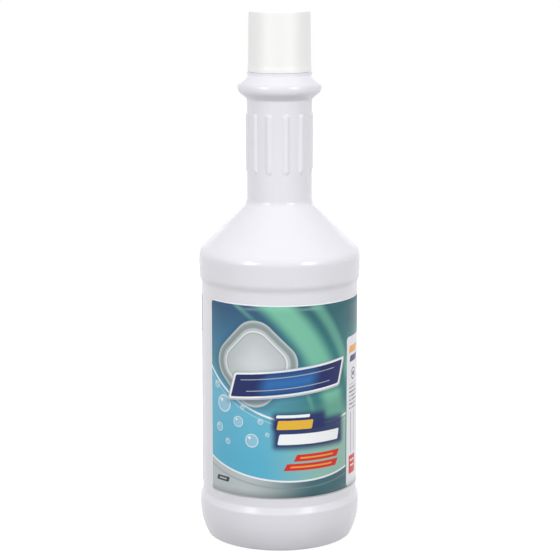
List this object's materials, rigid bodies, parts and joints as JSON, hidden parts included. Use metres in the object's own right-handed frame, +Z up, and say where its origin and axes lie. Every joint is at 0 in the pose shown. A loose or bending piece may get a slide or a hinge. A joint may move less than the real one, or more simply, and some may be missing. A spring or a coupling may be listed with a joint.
{
  "type": "decant bottle",
  "caption": "Tall round blow-moulded plastic bottle with a ribbed neck grip, a screw cap and a printed wrap-round label.",
  "frame": {"origin": "middle of the circle that the bottle stands on", "axes": "+Z up along the bottle's axis; the front of the label faces -Y, and +X is to its right"},
  "size_m": [0.0814, 0.0814, 0.2672],
  "materials": {
    "bottle_plastic": "natural white polyethylene, soft gloss",
    "cap_plastic": "white polypropylene, satin",
    "liner_foam": "white foamed polyethylene, dull",
    "label_film": "printed white film, glossy, in blue, aqua, green, grey and yellow"
  },
  "bodies": {
    "bottle": {"bottle": "bottle_plastic", "label": "label_film"},
    "cap_lift": {"cap_liner": "liner_foam"},
    "cap": {"cap": "cap_plastic"}
  },
  "joints": [
    {"name": "cap_rise", "type": "slide", "parent": "bottle", "child": "cap_lift", "axis": [0, 0, 1], "range_m": [0, 0.0298]},
    {"name": "cap_turn", "type": "hinge", "parent": "cap_lift", "child": "cap", "pos_m": [0, 0, 0.2525], "axis": [0, 0, 1], "range_deg": [0, 2520]}
  ],
  "couplings": [
    {"joint": "cap_rise", "follows": "cap_turn", "m_per_rad": 0.00067376}
  ]
}
